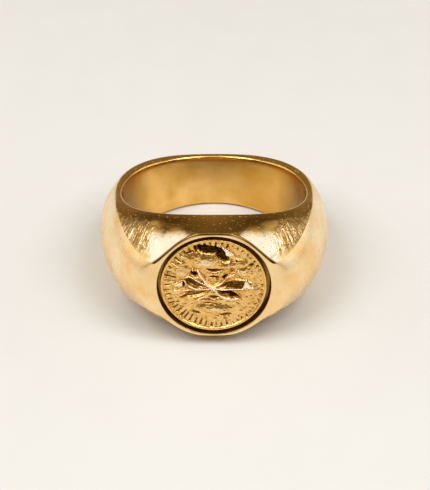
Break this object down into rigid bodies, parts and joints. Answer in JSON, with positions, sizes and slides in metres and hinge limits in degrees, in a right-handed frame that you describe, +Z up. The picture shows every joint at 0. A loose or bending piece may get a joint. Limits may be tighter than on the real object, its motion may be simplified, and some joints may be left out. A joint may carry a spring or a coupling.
{
  "type": "signet ring",
  "caption": "Finger ring with a tapering band, broad shoulders and a flat round table that holds a struck medallion with an open groove round it.",
  "frame": {"origin": "centre of the finger hole, on its axis and half-way between the ring's two faces", "axes": "the ring lies on its side as it rests on a table: +Z is up, square to the surface it lies on, and the finger hole's axis leans 10.0 degrees back from +Z towards +Y; the flat table with the medallion faces -Y and slightly up; +X is to the right of someone who looks at the medallion"},
  "size_m": [0.0236, 0.0244, 0.0128],
  "materials": {
    "polished_gold": "satin-polished yellow gold plate on brass, with fine scratches",
    "struck_gold": "struck relief in yellow gold plate, bright on the high points and dark in the hollows",
    "solder": "dull grey solder, hidden under the medallion"
  },
  "bodies": {
    "root": {"ring_body": "polished_gold", "medallion": "struck_gold", "solder_bed": "solder"}
  },
  "joints": []
}
